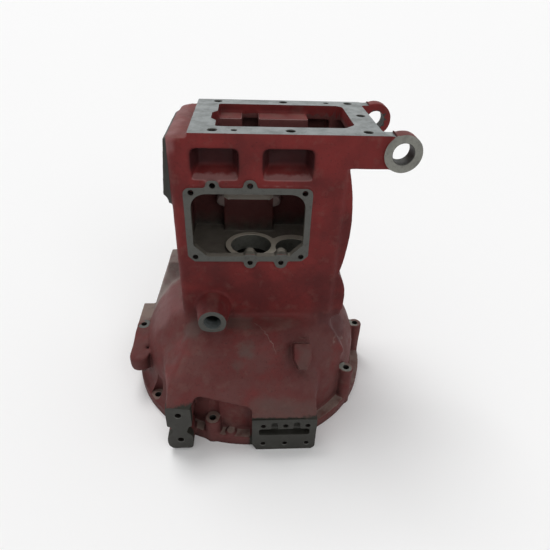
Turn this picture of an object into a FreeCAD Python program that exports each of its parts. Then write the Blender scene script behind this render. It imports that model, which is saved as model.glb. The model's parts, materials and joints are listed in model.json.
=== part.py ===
"""Gearbox housing: clutch bell and gear case cast in one piece of grey iron.

The casting stands on its bell mouth. The origin is the centre of the bell mouth on the
input shaft axis, +X is the side with the two hinge ears, +Z points from the bell to the
gear case. The case is built as a foundry builds it: outer forms, cores that hollow them,
inner walls and bosses, and last the machined bores, windows and holes.
"""
import FreeCAD, Part
import os
import Sketcher

SIZES = [
    ("flange_radius", 225.5, "bell mouth flange, outside"),
    ("flange_thick", 20, "bell mouth flange, height"),
    ("bolt_circle", 214.3, "radius of the bell bolt circle"),
    ("bell_bolts", 10, "bolts around the bell"),
    ("bell_bolt_hole", 5.5, "radius of a bell bolt hole"),
    ("column_radius", 14, "cast column around a bell bolt"),
    ("tall_column", 84, "top of the tall bolt columns"),
    ("middle_column", 48, "top of the bolt columns in the front recess and opposite"),
    ("skirt_radius", 206, "upright skirt of the bell, outside"),
    ("skirt_top", 64, "where the skirt turns into the crown"),
    ("crown_radius", 152, "flat top of the crown"),
    ("crown_top", 181, "height of the flat top of the crown"),
    ("crown_bevel", 15, "bevel of the crown's shoulder"),
    ("bell_wall", 16, "thickness of the bell measured level"),
    ("roof_wall", 12, "thickness of the crown's flat top"),
    ("case_left", 119, "case wall from the shaft axis, left"),
    ("case_right", 143, "case wall from the shaft axis, right"),
    ("case_front", 96, "case wall from the shaft axis, front"),
    ("case_back", 98, "case wall from the shaft axis, back"),
    ("case_round", 13, "outer corner radius of the case"),
    ("case_wall", 11, "wall of the case"),
    ("shoulder_top", 491, "painted shoulder of the case"),
    ("flange_top", 498, "machined top face of the case"),
    ("flange_left", 89, "machined top face, left edge"),
    ("flange_right", 186, "machined top face, right edge"),
    ("collar_bottom", 449, "underside of the collar that carries the ears"),
    ("mouth_left", 52, "top mouth, left edge"),
    ("mouth_right", 150, "top mouth, right edge"),
    ("mouth_front", 61, "top mouth, front edge"),
    ("mouth_back", 66, "top mouth, back edge"),
    ("mouth_corner", 16, "cut corners of the top mouth on the right"),
    ("mouth_notch", 8, "step in the left edge of the top mouth"),
    ("belly_out", 12, "swell of the right wall over the gears"),
    ("belly_low", 262, "lower end of the swell"),
    ("hump_out", 19, "swell of the right wall above the bell"),
    ("swell_lip", 4, "how far the swells stand out at their ends"),
    ("swell_front", 88, "front end of both swells"),
    ("swell_back", 86, "back end of both swells"),
    ("bearing_floor", 265, "top of the bearing wall"),
    ("bearing_wall", 25, "thickness of the bearing wall"),
    ("bearing_ring", 46, "raised ring around each bearing bore"),
    ("bearing_ring_rise", 5, "height of the rings above the bearing wall"),
    ("main_bore", 36, "bore for the main shaft bearing"),
    ("counter_bore", 31, "bore for the countershaft bearing"),
    ("counter_across", 75, "countershaft from the main shaft, to the right"),
    ("counter_along", -10, "countershaft from the main shaft, to the back"),
    ("pocket_depth", 28, "depth of the front nut pockets"),
    ("pocket_depth_back", 56, "depth of the back nut pockets"),
    ("pocket_cap", 10, "iron above a nut pocket, inside the mouth"),
    ("pocket_floor", 432, "floor of the nut pockets"),
    ("pocket_roof", 475, "roof of the nut pockets"),
    ("pocket_left_from", -85, "left nut pocket, left edge"),
    ("pocket_left_to", -20, "left nut pocket, right edge"),
    ("pocket_right_from", 17, "right nut pocket, left edge"),
    ("pocket_right_to", 87, "right nut pocket, right edge"),
    ("window_middle", -5, "centre of the shift window across"),
    ("window_height", 358, "centre of the shift window above the mouth"),
    ("window_half_wide", 85, "half width of the shift window"),
    ("window_half_high", 52.5, "half height of the shift window"),
    ("window_round", 22, "upper corner radius of the window"),
    ("window_slant", 20, "slanted lower corners of the window"),
    ("window_rim", 10, "flange around the window"),
    ("window_face", 3, "how far the window flange stands proud"),
    ("window_bolt_across", 83.5, "corner bolts from the window centre, across"),
    ("window_bolt_up", 54.5, "corner bolts from the window centre, up"),
    ("window_extra_up", 65.5, "middle bolts from the window centre, up"),
    ("window_bolt_far", 52, "outer middle bolts from the window centre, across"),
    ("window_bolt_near", 2.5, "inner middle bolts from the window centre, across"),
    ("window_lobe", 10, "lobe around a window bolt"),
    ("window_hole", 4.2, "radius of a window bolt hole"),
    ("window_hole_deep", 18, "depth of a blind bolt hole"),
    ("shelf_top", 330, "step of the back wall inside"),
    ("shelf_middle", -4, "middle of the step across"),
    ("shelf_deep", 25, "how far the step stands inside the back wall"),
    ("shelf_half", 47, "half width of the step"),
    ("ear_across", 213, "ear bore from the shaft axis"),
    ("ear_height", 474, "ear bore above the mouth"),
    ("ear_radius", 28, "outer radius of an ear"),
    ("ear_bore", 15.4, "bore of the ears"),
    ("ear_thick", 25, "thickness of an ear"),
    ("ear_proud", 4, "how far the front ear stands proud of the case"),
    ("shaft_across", -64, "release shaft from the shaft axis"),
    ("shaft_height", 204, "release shaft above the mouth"),
    ("shaft_bore", 14, "bore for the release shaft"),
    ("shaft_ring", 23, "outer radius of the release shaft boss at its face"),
    ("shaft_root", 27, "outer radius of the release shaft boss at the wall"),
    ("shaft_reach", 45, "release shaft boss in front of the case wall"),
    ("shaft_back", 14, "release shaft boss behind the case wall"),
    ("pad_face", 235, "face of the six-bolt pad from the shaft axis"),
    ("pad_left", 0, "six-bolt pad, left edge"),
    ("pad_right", 108, "six-bolt pad, right edge"),
    ("pad_top", 76, "six-bolt pad, top edge"),
    ("apron_set_back", 2, "apron front behind the pad face"),
    ("apron_left", 138, "front apron, left edge from the shaft axis"),
    ("apron_left_top", 106, "front apron, upper left corner"),
    ("apron_right_top", 76, "front apron, upper right corner"),
    ("apron_bend", 202, "where the apron bends, in front of the shaft axis"),
    ("apron_bend_left", 133, "height of the bend, left"),
    ("apron_bend_right", 116, "height of the bend, right"),
    ("apron_root", 112, "where the apron runs into the crown"),
    ("apron_widen", 20, "how much the apron widens towards the crown on each side"),
    ("recess_right", 0, "front recess, right edge"),
    ("recess_left", 97, "front recess, left edge from the shaft axis"),
    ("recess_top_left", 113, "roof of the front recess, left"),
    ("recess_top_right", 93, "roof of the front recess, right"),
    ("recess_back", 201, "back wall of the front recess from the shaft axis"),
    ("pad_pitch", 37, "six-bolt pad, hole spacing across"),
    ("pad_row", 45, "six-bolt pad, hole spacing up"),
    ("pad_low_row", 15, "six-bolt pad, lower hole row above the mouth"),
    ("pad_hole", 4.2, "radius of a pad hole"),
    ("pad_hole_deep", 22, "depth of a pad hole"),
    ("pad_middle", 56, "middle of the six bolts across"),
    ("pad_chamfer", 9, "cut lower left corner of the six-bolt pad"),
    ("slot_low", 39, "cast slot in the six-bolt pad, lower edge"),
    ("slot_high", 53, "cast slot in the six-bolt pad, upper edge"),
    ("slot_notch_high", 69, "notches between the upper pad holes, top"),
    ("slot_notch", 10, "width of a notch between the upper pad holes"),
    ("slot_end", 12, "end of the cast slot from the pad edges"),
    ("slot_deep", 14, "depth of the cast slot"),
    ("foot_middle", -118, "middle of the two-bolt foot"),
    ("foot_face", 233, "face of the foot from the shaft axis"),
    ("foot_half", 20.5, "half width of the foot"),
    ("foot_bottom", 6, "lower end of the foot"),
    ("foot_neck", 48, "height of the foot's neck"),
    ("foot_neck_half", 11.5, "half width of the foot's neck"),
    ("foot_corner_bow", 1.8, "depth of the arcs at the foot's lower corners"),
    ("foot_top", 104, "top of the machined column"),
    ("foot_leg", 62, "height where the column leaves the apron"),
    ("foot_low_hole", 28, "lower foot hole above the mouth"),
    ("foot_spacing", 60.5, "spacing of the two foot holes"),
    ("foot_hole", 5.25, "radius of a foot hole"),
    ("foot_hole_deep", 26, "depth of a foot hole"),
    ("ledge_left", 227, "side ledge on the left, from the shaft axis"),
    ("ledge_back", 70, "side ledge, back end"),
    ("ledge_front", 84, "side ledge, centre of its rounded front end"),
    ("ledge_end", 19, "radius of the rounded front end"),
    ("ledge_top", 85, "side ledge, top"),
    ("ledge_bottom", 42, "side ledge, underside"),
    ("ledge_end_bottom", 52, "underside of the rounded front end"),
    ("buttress_top", 203, "top of the left buttress"),
    ("buttress_top_left", 160, "left buttress, upper corner from the shaft axis"),
    ("buttress_foot", 209, "left buttress, lower corner from the shaft axis"),
    ("buttress_low", 66, "left buttress, height of the lower corner"),
    ("buttress_front", 44, "left buttress, front face behind the shaft axis"),
    ("rib_top", 188, "top of the right rib"),
    ("rib_top_right", 161, "right rib, upper corner from the shaft axis"),
    ("rib_foot", 202, "right rib, lower corner from the shaft axis"),
    ("rib_half", 12, "half thickness of the right rib"),
    ("nose_across", 84, "centre of the nose on the apron, across"),
    ("nose_along", -154, "centre of the nose from the shaft axis"),
    ("nose_height", 146, "centre of the nose above the mouth"),
    ("nose_tilt", 33, "slope of the nose, degrees"),
    ("nose_half", 15, "half width of the nose"),
    ("nose_length", 50, "length of the nose"),
    ("nose_rise", 10, "how far the nose stands off the apron"),
    ("side_pad_out", 13, "side pad on the left wall, how far its lower end stands out"),
    ("side_pad_out_top", 5, "side pad, how far its upper end stands out"),
    ("side_pad_low", 387, "side pad, lower end"),
    ("side_pad_high", 488, "side pad, upper end"),
    ("side_pad_front", 82, "side pad, front edge"),
    ("side_pad_back", 60, "side pad, back edge"),
    ("side_pad_edge", 14, "height of the curved lower lip of the side pad"),
    ("top_bolt_hole", 6.5, "radius of a through hole in the top flange"),
    ("top_dowel_hole", 4, "radius of a dowel hole in the top flange"),
    ("top_row_front", 79, "front hole row from the shaft axis"),
    ("top_row_back", 84, "back hole row from the shaft axis"),
    ("top_hole_left", -55, "left holes of both rows"),
    ("top_hole_middle", 54, "middle holes of both rows"),
    ("top_hole_right", 164, "right holes of both rows"),
    ("top_side_hole", 171, "hole in the right band of the top flange"),
    ("top_side_along", 8, "that hole behind the shaft axis"),
    ("top_dowel_front", -25, "front dowel hole across"),
    ("top_dowel_back", 127, "back dowel hole across"),
    ("top_dowel_deep", 16, "depth of a dowel hole"),
    ("overlap", 4, "how far a cut runs past the face that it opens"),
]

TOLERANCE = 1e-4
doc = FreeCAD.newDocument("GearboxHousing")


def add_sheet():
    """The driving dimensions, one row each: name, value, meaning."""
    sheet = doc.addObject("Spreadsheet::Sheet", "Sizes")
    for row, (name, value, meaning) in enumerate(SIZES, start=1):
        sheet.set("A%d" % row, name)
        sheet.set("B%d" % row, str(value))
        sheet.set("C%d" % row, meaning)
        sheet.setAlias("B%d" % row, name)
    doc.recompute()
    return sheet


SHEET = add_sheet()
PROBE = doc.addObject("App::FeaturePython", "Probe")
PROBE.addProperty("App::PropertyFloat", "Value")


def bound(expression):
    """The expression with each size name pointed at its cell."""
    text = " %s " % expression
    names = sorted((row[0] for row in SIZES), key=len, reverse=True)
    for name in names:
        text = replace_word(text, name, "Sizes." + name)
    return text.strip()


def replace_word(text, word, new):
    """Replaces whole words only."""
    pieces = []
    start = 0
    while True:
        at = text.find(word, start)
        if at < 0:
            pieces.append(text[start:])
            return "".join(pieces)
        end = at + len(word)
        before = text[at - 1]
        after = text[end]
        whole = not (before.isalnum() or before in "_.") and not (after.isalnum() or after == "_")
        pieces.append(text[start:at])
        pieces.append(new if whole else word)
        start = end


def number(expression):
    """What an expression of size names comes to now."""
    PROBE.setExpression("Value", bound(expression))
    PROBE.recompute()
    return PROBE.Value


def bind(thing, prop, expression):
    thing.setExpression(prop, bound(expression))


def place(thing, across="0", along="0", up="0"):
    """Binds the three lengths of a Placement."""
    bind(thing, "Placement.Base.x", across)
    bind(thing, "Placement.Base.y", along)
    bind(thing, "Placement.Base.z", up)
    return thing


def turn(thing, axis, angle):
    thing.Placement = FreeCAD.Placement(thing.Placement.Base, FreeCAD.Rotation(FreeCAD.Vector(*axis), angle))
    return thing


def box(name, wide, deep, high, across, along, up):
    block = doc.addObject("Part::Box", name)
    bind(block, "Length", wide)
    bind(block, "Width", deep)
    bind(block, "Height", high)
    return place(block, across, along, up)


def upright(name, radius, high, across, along, up):
    """A cylinder along Z."""
    rod = doc.addObject("Part::Cylinder", name)
    bind(rod, "Radius", radius)
    bind(rod, "Height", high)
    return place(rod, across, along, up)


def lying(name, radius, length, across, along, up):
    """A cylinder along +Y that starts at the given point."""
    rod = doc.addObject("Part::Cylinder", name)
    turn(rod, (1, 0, 0), -90)
    bind(rod, "Radius", radius)
    bind(rod, "Height", length)
    return place(rod, across, along, up)


def body(name):
    return doc.addObject("PartDesign::Body", name)


def sketch_on(owner, name, role, offset="0"):
    """A sketch on one of the body's own origin planes, shifted along its normal."""
    sketch = owner.newObject("Sketcher::SketchObject", name)
    plane = [item for item in owner.Origin.OriginFeatures if item.Role == role][0]
    sketch.AttachmentSupport = [(plane, "")]
    sketch.MapMode = "FlatFace"
    bind(sketch, "AttachmentOffset.Base.z", offset)
    return sketch


def fix_point(sketch, item, end, across, up):
    """Holds one end of a line at two bound distances from the sketch origin."""
    for kind, expression in (("DistanceX", across), ("DistanceY", up)):
        held = Sketcher.Constraint(kind, -1, 1, item, end, number(expression))
        index = sketch.addConstraint(held)
        sketch.setExpression("Constraints[%d]" % index, bound(expression))


def outline(sketch, corners):
    """A closed outline. A corner is (across, up) or, for an arc to it, (across, up, sagitta)."""
    points = [FreeCAD.Vector(number(corner[0]), number(corner[1]), 0) for corner in corners]
    for index, start in enumerate(points):
        end = points[(index + 1) % len(points)]
        corner = corners[(index + 1) % len(points)]
        if len(corner) == 3:
            sketch.addGeometry(shallow_arc(start, end, number(corner[2])))
        else:
            sketch.addGeometry(Part.LineSegment(start, end))
    join_and_hold(sketch, corners)


def shallow_arc(start, end, sagitta):
    """An arc to the right hand of its chord, as deep as the sagitta."""
    chord = end - start
    side = FreeCAD.Vector(chord.y, -chord.x, 0).normalize()
    middle = (start + end) * 0.5 + side * sagitta
    arc = Part.Arc(start, middle, end)
    return arc


def join_and_hold(sketch, corners):
    count = len(corners)
    for index in range(count):
        follower = (index + 1) % count
        sketch.addConstraint(Sketcher.Constraint("Coincident", index, 2, follower, 1))
    for index, corner in enumerate(corners):
        fix_point(sketch, index, 1, corner[0], corner[1])
    for index in range(count):
        corner = corners[(index + 1) % count]
        if len(corner) == 3:
            hold_arc(sketch, index, corners[index], corner)


def hold_arc(sketch, item, start, end):
    """Radius from chord and sagitta: (c2 / 4 + f2) / 2f."""
    squared = "((%s - (%s)) ^ 2 + (%s - (%s)) ^ 2)" % (end[0], start[0], end[1], start[1])
    radius = "(%s / 4 + (%s) ^ 2) / (2 * (%s))" % (squared, end[2], end[2])
    index = sketch.addConstraint(Sketcher.Constraint("Radius", item, number(radius)))
    sketch.setExpression("Constraints[%d]" % index, bound(radius))


def pad(owner, name, sketch, length):
    feature = owner.newObject("PartDesign::Pad", name)
    feature.Profile = sketch
    bind(feature, "Length", length)
    sketch.Visibility = False
    doc.recompute()
    return feature


def front_plate(name, corners, front, deep):
    """An outline in front view, padded from y = -front towards the back."""
    owner = body(name)
    sketch = sketch_on(owner, name + "Outline", "XZ_Plane", front)
    outline(sketch, corners)
    feature = pad(owner, name + "Pad", sketch, deep)
    feature.Reversed = True
    doc.recompute()
    return owner


def level_plate(name, corners, bottom, high):
    """An outline in plan view, padded upward from z = bottom."""
    owner = body(name)
    sketch = sketch_on(owner, name + "Outline", "XY_Plane", bottom)
    outline(sketch, corners)
    pad(owner, name + "Pad", sketch, high)
    return owner


def rounded(owner, radius, chosen):
    """Rounds the edges of the body's tip for which chosen(edge) holds."""
    tip = owner.Tip
    names = ["Edge%d" % (i + 1) for i, edge in enumerate(tip.Shape.Edges) if chosen(edge)]
    feature = owner.newObject("PartDesign::Fillet", owner.Name + "Round%d" % len(owner.Group))
    feature.Base = (tip, names)
    bind(feature, "Radius", radius)
    owner.Tip = feature
    doc.recompute()
    return owner


def runs_along(axis):
    """True for straight edges along the axis: 0 X, 1 Y, 2 Z."""
    def test(edge):
        if edge.Curve.TypeId != "Part::GeomLine":
            return False
        return abs(abs(edge.tangentAt(edge.FirstParameter)[axis]) - 1) < TOLERANCE
    return test


def lies_at(axis, place_now):
    """True for edges that lie wholly in the plane axis = place_now."""
    def test(edge):
        return all(abs(vertex.Point[axis] - place_now) < TOLERANCE for vertex in edge.Vertexes)
    return test


def is_round(edge):
    return edge.Curve.TypeId == "Part::GeomCircle"


def both(first, second):
    return lambda edge: first(edge) and second(edge)


def crown(name, low_radius, low, high_radius, high):
    """A steep cone about the shaft axis between two levels."""
    cone = doc.addObject("Part::Cone", name)
    bind(cone, "Radius1", low_radius)
    bind(cone, "Radius2", high_radius)
    bind(cone, "Height", "%s - (%s)" % (high, low))
    place(cone, "0", "0", low)
    doc.recompute()
    return cone


def beveled(name, base, width, chosen):
    """Bevels the edges of a plain solid for which chosen(edge) holds."""
    feature = doc.addObject("Part::Chamfer", name)
    feature.Base = base
    size = number(width)
    feature.Edges = [(i + 1, size, size) for i, edge in enumerate(base.Shape.Edges) if chosen(edge)]
    doc.recompute()
    return feature


def fuse(name, things):
    feature = doc.addObject("Part::MultiFuse", name)
    feature.Shapes = things
    doc.recompute()
    return feature


def cut(name, base, tool):
    feature = doc.addObject("Part::Cut", name)
    feature.Base = base
    feature.Tool = tool
    doc.recompute()
    return feature


def bell_angles():
    """Directions of the bell bolts, degrees, with the first one on +X."""
    count = int(round(number("bell_bolts")))
    return [360.0 * index / count for index in range(count)]


def on_circle(radius, angle):
    """The two expressions of a point on a circle about the shaft axis."""
    return "%s * cos(%.6f)" % (radius, angle), "%s * sin(%.6f)" % (radius, angle)


def column_top(angle):
    """The bolts at both sides and beside the six-bolt pad sit high, two lower, the rest on the flange."""
    if min(abs(angle - target) for target in (0, 180, 324)) < 1:
        return "tall_column"
    if min(abs(angle - target) for target in (108, 252)) < 1:
        return "middle_column"
    return "flange_thick"


def bell_forms():
    """The bell: flange, skirt and crown, with its bolt columns."""
    flange = upright("BellFlange", "flange_radius", "flange_thick", "0", "0", "0")
    skirt = upright("BellSkirt", "skirt_radius", "skirt_top", "0", "0", "0")
    dome = crown("BellCrown", "skirt_radius", "skirt_top", "crown_radius", "crown_top")
    dome = beveled("CrownShoulder", dome, "crown_bevel", both(lies_at(2, number("crown_top")), is_round))
    forms = [flange, skirt, dome]
    for angle in bell_angles():
        top = column_top(angle)
        if top != "flange_thick":
            x, y = on_circle("bolt_circle", angle)
            forms.append(upright("BoltColumn%d" % angle, "column_radius", top, x, y, "0"))
    return forms


def case_form():
    """The gear case, standing on the crown, with rounded upright corners."""
    buried = "crown_top - 3 * crown_bevel - roof_wall"
    corners = [
        ("-case_left", buried),
        ("case_right", buried),
        ("case_right", "shoulder_top"),
        ("-case_left", "shoulder_top"),
    ]
    owner = front_plate("CaseForm", corners, "case_front", "case_front + case_back")
    return rounded(owner, "case_round", runs_along(2))


def swell_forms():
    """Two swells of the right wall, over the gears and above the bell."""
    inside = "case_right - case_wall"
    belly = [
        (inside, "belly_low"),
        ("case_right + swell_lip", "belly_low"),
        ("case_right", "collar_bottom", "belly_out"),
        (inside, "collar_bottom"),
    ]
    hump = [
        (inside, "crown_top - roof_wall"),
        ("case_right + hump_out", "crown_top - roof_wall"),
        ("case_right + hump_out", "crown_top + 2 * crown_bevel"),
        ("case_right + swell_lip", "belly_low", "hump_out / 4"),
        (inside, "belly_low"),
    ]
    forms = []
    for name, corners in (("GearSwell", belly), ("NeckSwell", hump)):
        owner = front_plate(name, corners, "swell_front", "swell_front + swell_back")
        forms.append(owner)
    return forms


def collar_forms():
    """The machined top plate, its overhanging collar and the two ears."""
    collar = box("Collar", "flange_right - case_right + case_wall", "case_front + case_back",
                 "flange_top - collar_bottom", "case_right - case_wall", "-case_front", "collar_bottom")
    plate = box("TopPlate", "flange_left + flange_right", "case_front + case_back",
                "flange_top - pocket_roof", "-flange_left", "-case_front", "pocket_roof")
    forms = [collar, plate]
    for name, along, proud in (("Front", "-case_front", "ear_proud"), ("Back", "case_back - ear_thick", "0")):
        arm = box("EarArm" + name, "ear_across - flange_right + ear_radius / 2", "ear_thick - ear_proud",
                  "flange_top - collar_bottom", "flange_right - ear_radius / 2", along, "collar_bottom")
        ring = lying("Ear" + name, "ear_radius", "ear_thick", "ear_across", "%s - %s" % (along, proud),
                     "ear_height")
        forms.extend([arm, ring])
    return forms


def window_corners(grow, round_top, slant):
    """The window's outline in front view: round above, slanted below."""
    left = "window_middle - window_half_wide - %s" % grow
    right = "window_middle + window_half_wide + %s" % grow
    low = "window_height - window_half_high - %s" % grow
    high = "window_height + window_half_high + %s" % grow
    bow = "%s * (1 - cos(45))" % round_top
    return [
        ("%s + %s" % (left, slant), low),
        ("%s - %s" % (right, slant), low),
        (right, "%s + %s" % (low, slant)),
        (right, "%s - %s" % (high, round_top)),
        ("%s - %s" % (right, round_top), high, bow),
        ("%s + %s" % (left, round_top), high),
        (left, "%s - %s" % (high, round_top), bow),
        (left, "%s + %s" % (low, slant)),
    ]


def window_corner_bolts():
    """Centres of the four bolts at the window's corners."""
    return [("window_middle %s window_bolt_across" % across, "window_height %s window_bolt_up" % up)
            for across in "-+" for up in "-+"]


def window_middle_bolts():
    """Centres of the two bolts above the window and the two below."""
    middles = (("- window_bolt_far", "+"), ("+ window_bolt_near", "+"), ("+ window_bolt_near", "-"),
               ("+ window_bolt_far", "-"))
    return [("window_middle " + across, "window_height %s window_extra_up" % up) for across, up in middles]


def window_forms():
    """The machined flange around the window, with a lobe at each middle bolt."""
    deep = "case_wall + window_face"
    rim = front_plate("WindowFlange", window_corners("window_rim", "window_lobe", "window_lobe"),
                      "case_front + window_face", deep)
    forms = [rim]
    for index, (across, up) in enumerate(window_middle_bolts()):
        forms.append(lying("WindowLobe%d" % index, "window_lobe", deep, across,
                           "-case_front - window_face", up))
    return forms


def shaft_forms():
    """The tapered boss of the release shaft, with a short one behind."""
    boss = doc.addObject("Part::Cone", "ShaftBoss")
    turn(boss, (1, 0, 0), -90)
    bind(boss, "Radius1", "shaft_ring")
    bind(boss, "Radius2", "shaft_root")
    bind(boss, "Height", "shaft_reach + case_wall / 2")
    place(boss, "shaft_across", "-case_front - shaft_reach", "shaft_height")
    back = lying("ShaftBossBack", "shaft_ring", "shaft_back + case_wall / 2", "shaft_across",
                 "case_back - case_wall / 2", "shaft_height")
    return [boss, back]


def pad_forms():
    """The six-bolt pad low on the front, with its cut and rounded lower corners."""
    corners = [
        ("pad_left + pad_chamfer", "0"),
        ("pad_right", "0"),
        ("pad_right", "pad_top"),
        ("pad_left", "pad_top"),
        ("pad_left", "3 * pad_chamfer / 2"),
    ]
    owner = front_plate("SixBoltPad", corners, "pad_face", "pad_face - recess_back + bell_wall / 2")
    low_right = both(runs_along(1), both(lies_at(0, number("pad_right")), lies_at(2, 0.0)))
    return [rounded(owner, "pad_chamfer", low_right)]


def apron_section(owner, name, distance, points):
    """One section of the apron, in front view, at y = -distance."""
    sketch = sketch_on(owner, name, "XZ_Plane", distance)
    outline(sketch, points)
    sketch.Visibility = False
    return sketch


def apron_points(wider, left_top, right_top, bevel):
    """Six corners of an apron section, with beveled upper corners."""
    left = "-apron_left - %s" % wider
    right = "pad_right + %s" % wider
    return [
        (left, "flange_thick"),
        (right, "flange_thick"),
        (right, "%s - %s" % (right_top, bevel)),
        ("%s - %s" % (right, bevel), right_top),
        ("%s + %s" % (left, bevel), left_top),
        (left, "%s - %s" % (left_top, bevel)),
    ]


def apron_form():
    """The apron that joins pad and foot: a loft of three sections, less the recess under it."""
    owner = body("Apron")
    front = apron_section(owner, "ApronFront", "pad_face - apron_set_back",
                          apron_points("0", "apron_left_top", "apron_right_top", "pad_chamfer / 3"))
    bent = apron_points("0", "apron_bend_left", "apron_bend_right", "pad_chamfer")
    bend = apron_section(owner, "ApronBend", "apron_bend", bent)
    buried = apron_points("apron_widen", "crown_top - overlap", "crown_top - overlap", "3 * apron_widen")
    root = apron_section(owner, "ApronRoot", "apron_root", buried)
    feature = owner.newObject("PartDesign::AdditiveLoft", "ApronLoft")
    feature.Profile = front
    feature.Sections = [bend, root]
    feature.Ruled = True
    doc.recompute()
    return cut("ApronCut", owner, recess_tool())


def recess_tool():
    """The room in front of the skirt: all of it outside a cylinder about the shaft axis."""
    far = "-apron_left - 2 * apron_widen"
    corners = [
        (far, "-overlap"),
        ("-recess_right", "-overlap"),
        ("-recess_right", "recess_top_right"),
        ("-recess_left + pad_chamfer", "recess_top_left"),
        ("-recess_left", "recess_top_left - pad_chamfer"),
        ("-recess_left", "foot_leg"),
        (far, "foot_leg"),
    ]
    room = front_plate("RecessRoom", corners, "pad_face + overlap", "pad_face - apron_root")
    core = upright("RecessBack", "recess_back", "2 * crown_top", "0", "0", "-crown_top / 2")
    return cut("Recess", room, core)


def foot_forms():
    """The two-bolt foot, its waist and the column that runs into the apron."""
    left = "foot_middle - foot_half"
    right = "foot_middle + foot_half"
    corner = "foot_half / 3"
    waist = "foot_neck / 5"
    corners = [
        ("%s + %s" % (left, corner), "foot_bottom"),
        ("%s - %s" % (right, corner), "foot_bottom"),
        (right, "foot_bottom + %s" % corner, "foot_corner_bow"),
        (right, "foot_neck - %s" % waist),
        ("foot_middle + foot_neck_half", "foot_neck"),
        (right, "foot_neck + 3 * %s" % waist),
        (right, "foot_top"),
        ("-apron_left", "foot_top"),
        ("-apron_left", "foot_top - %s" % waist),
        ("foot_middle - foot_neck_half", "foot_neck"),
        (left, "foot_neck - %s" % waist),
        (left, "foot_bottom + %s" % corner, "foot_corner_bow"),
    ]
    return [front_plate("TwoBoltFoot", corners, "foot_face", "foot_face - skirt_radius + bell_wall")]


def side_forms():
    """The ledge and sloping buttress on the left and the rib on the right."""
    ledge = box("SideLedge", "ledge_left - skirt_radius + bell_wall / 2", "ledge_back + ledge_front",
                "ledge_top - ledge_bottom", "-ledge_left", "-ledge_front", "ledge_bottom")
    end = upright("LedgeEnd", "ledge_end", "ledge_top - ledge_end_bottom", "-ledge_left + ledge_end",
                  "-ledge_front", "ledge_end_bottom")
    wedge = [
        ("-case_left + case_wall / 2", "flange_thick"),
        ("-case_left + case_wall / 2", "buttress_top"),
        ("-buttress_top_left", "buttress_top"),
        ("-buttress_foot", "buttress_low"),
        ("-buttress_foot", "flange_thick"),
    ]
    buttress = front_plate("Buttress", wedge, "-buttress_front", "case_back - buttress_front")
    web = [
        ("case_right - case_wall / 2", "flange_thick"),
        ("rib_foot", "flange_thick"),
        ("rib_foot", "tall_column"),
        ("rib_top_right", "rib_top"),
        ("case_right - case_wall / 2", "rib_top"),
    ]
    rib = front_plate("EarRib", web, "rib_half", "2 * rib_half")
    return [ledge, end, buttress, rib]


def nose_form():
    """A shield-shaped nose on the apron, pointing down the slope."""
    owner = body("ApronNose")
    sketch = sketch_on(owner, "ApronNoseOutline", "XY_Plane", "-nose_rise")
    corners = [
        ("-nose_half", "nose_length / 2"),
        ("-nose_half", "-nose_length / 10"),
        ("0", "-nose_length / 2"),
        ("nose_half", "-nose_length / 10"),
        ("nose_half", "nose_length / 2"),
    ]
    outline(sketch, corners)
    pad(owner, "ApronNosePad", sketch, "2 * nose_rise")
    turn(owner, (1, 0, 0), number("nose_tilt"))
    return place(owner, "nose_across", "nose_along", "nose_height")


def side_pad_form():
    """The machined pad on the left wall: its face leans out towards the lower end."""
    corners = [
        ("-case_left + case_wall / 2", "side_pad_low"),
        ("-case_left - side_pad_out / 2", "side_pad_low"),
        ("-case_left - side_pad_out", "side_pad_low + side_pad_edge", "side_pad_out / 5"),
        ("-case_left - side_pad_out_top", "side_pad_high"),
        ("-case_left + case_wall / 2", "side_pad_high"),
    ]
    return front_plate("SidePad", corners, "side_pad_front", "side_pad_front + side_pad_back")


def cavity(name, bottom, high):
    """A square-cornered core the size of the case inside its walls."""
    left = "-case_left + case_wall"
    right = "case_right - case_wall"
    front = "-case_front + case_wall"
    back = "case_back - case_wall"
    corners = [(left, front), (right, front), (right, back), (left, back)]
    return level_plate(name, corners, bottom, high)


def cores():
    """What the sand cores leave empty."""
    skirt = upright("SkirtCore", "skirt_radius - bell_wall", "skirt_top + overlap", "0", "0", "-overlap")
    dome = crown("CrownCore", "skirt_radius - bell_wall", "skirt_top", "crown_radius - bell_wall",
                 "crown_top - roof_wall")
    neck = cavity("NeckCore", "skirt_top", "bearing_floor - bearing_wall - skirt_top")
    case = cavity("CaseCore", "bearing_floor", "pocket_roof - bearing_floor")
    belly = [
        ("case_right - 2 * case_wall", "bearing_floor"),
        ("case_right + swell_lip - case_wall", "bearing_floor"),
        ("case_right - case_wall", "collar_bottom", "belly_out"),
        ("case_right - 2 * case_wall", "collar_bottom"),
    ]
    swell = front_plate("GearSwellCore", belly, "swell_front - case_wall",
                        "swell_front + swell_back - 2 * case_wall")
    under = box("CollarCore", "flange_right - case_right - case_wall / 2", "mouth_front + mouth_back",
                "pocket_roof - collar_bottom - case_wall", "case_right - 1.5 * case_wall", "-mouth_front",
                "collar_bottom + case_wall")
    return [skirt, dome, neck, case, swell, under, mouth_core(), window_core()]


def window_core():
    """The shift window in the front wall."""
    return front_plate("WindowOpening", window_corners("0", "window_round", "window_slant"),
                       "case_front + window_face + overlap", "case_wall + window_face + 2 * overlap")


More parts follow.
